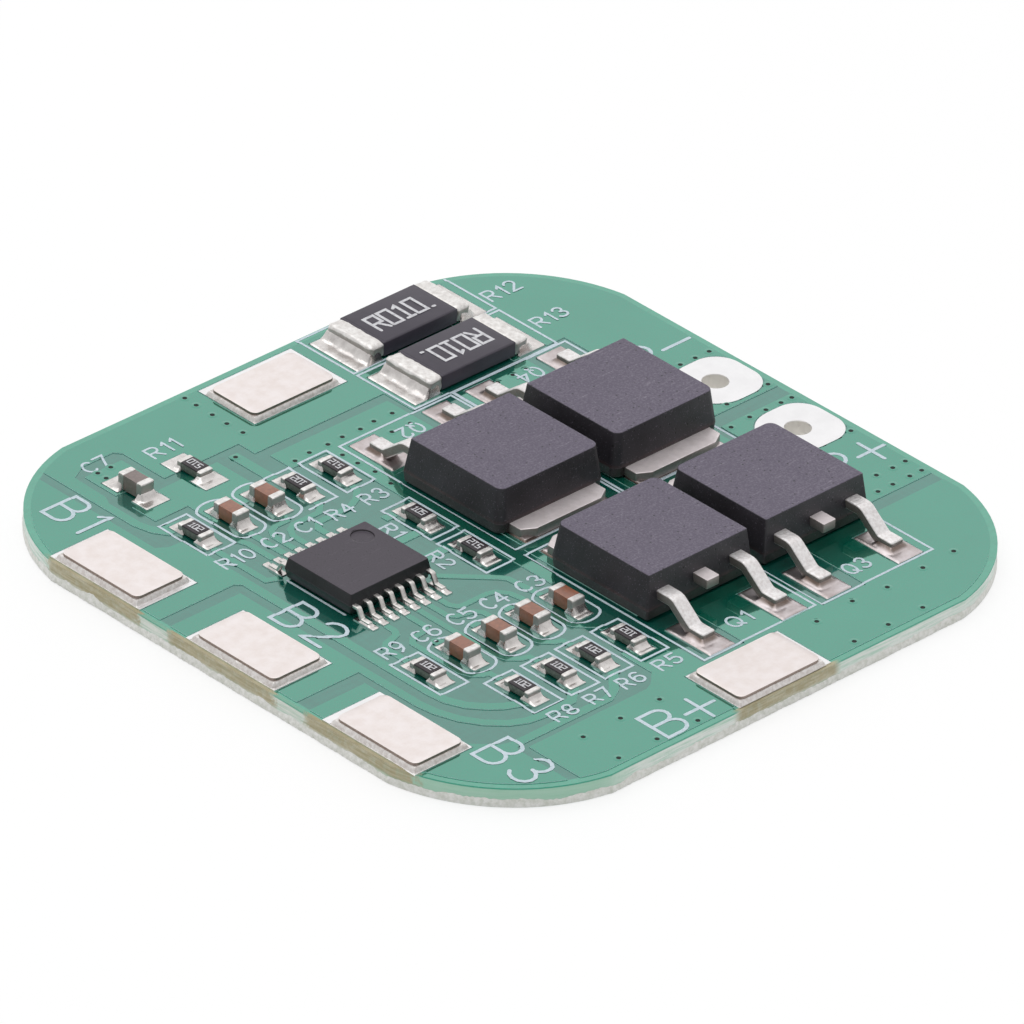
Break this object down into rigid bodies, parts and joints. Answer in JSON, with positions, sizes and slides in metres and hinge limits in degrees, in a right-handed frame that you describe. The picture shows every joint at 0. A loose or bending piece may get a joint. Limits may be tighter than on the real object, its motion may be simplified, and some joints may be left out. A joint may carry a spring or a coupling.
{
  "type": "battery charge controller",
  "caption": "Square green circuit board with cell-shaped corners, flat nickel battery pads, power transistors, sense resistors and plated wire holes.",
  "frame": {"origin": "centre of the board's outline, on its underside", "axes": "+Z out of the populated face; +X along the reading direction of the small upright part marks, towards the two wire holes; +Y towards the battery negative pad"},
  "size_m": [0.036, 0.036, 0.0033],
  "materials": {
    "solder_mask": "satin green solder mask over glass-fibre laminate",
    "tinned_copper": "bright tin over copper",
    "nickel": "rolled nickel, satin",
    "solder": "bright soft solder",
    "mould_compound": "matte, finely pitted",
    "controller_mould": "fine matte",
    "tinned_leadframe": "satin tin plate",
    "resistor_glaze": "glossy black overcoat on ceramic",
    "shunt_coating": "semi-matte black overcoat",
    "capacitor_ceramic": "brown fired ceramic",
    "end_cap": "tinned end metal"
  },
  "bodies": {
    "root": {"board": "solder_mask", "c1_body": "capacitor_ceramic", "c2_body": "capacitor_ceramic", "c3_body": "capacitor_ceramic", "c4_body": "capacitor_ceramic", "c5_body": "capacitor_ceramic", "c6_body": "capacitor_ceramic", "c7_body": "capacitor_ceramic", "chip_solder": "solder", "chip_terminals": "end_cap", "component_lands": "tinned_copper", "controller_body": "controller_mould", "controller_leads": "tinned_leadframe", "controller_solder": "solder", "q1_body": "mould_compound", "q1_drain": "tinned_leadframe", "q1_gate": "tinned_leadframe", "q1_source": "tinned_leadframe", "q2_body": "mould_compound", "q2_drain": "tinned_leadframe", "q2_gate": "tinned_leadframe", "q2_source": "tinned_leadframe", "q3_body": "mould_compound", "q3_drain": "tinned_leadframe", "q3_gate": "tinned_leadframe", "q3_source": "tinned_leadframe", "q4_body": "mould_compound", "q4_drain": "tinned_leadframe", "q4_gate": "tinned_leadframe", "q4_source": "tinned_leadframe", "r10_body": "resistor_glaze", "r11_body": "resistor_glaze", "r12_body": "shunt_coating", "r12_terminals": "end_cap", "r13_body": "shunt_coating", "r13_terminals": "end_cap", "r1_body": "resistor_glaze", "r2_body": "resistor_glaze", "r3_body": "resistor_glaze", "r4_body": "resistor_glaze", "r5_body": "resistor_glaze", "r6_body": "resistor_glaze", "r7_body": "resistor_glaze", "r8_body": "resistor_glaze", "r9_body": "resistor_glaze", "tab_b1": "nickel", "tab_b1_solder": "solder", "tab_b2": "nickel", "tab_b2_solder": "solder", "tab_b3": "nickel", "tab_b3_solder": "solder", "tab_b_minus": "nickel", "tab_b_minus_solder": "solder", "tab_b_plus": "nickel", "tab_b_plus_solder": "solder", "tab_lands": "tinned_copper", "transistor_solder": "solder", "wire_land_minus": "tinned_copper", "wire_land_plus": "tinned_copper"}
  },
  "joints": []
}
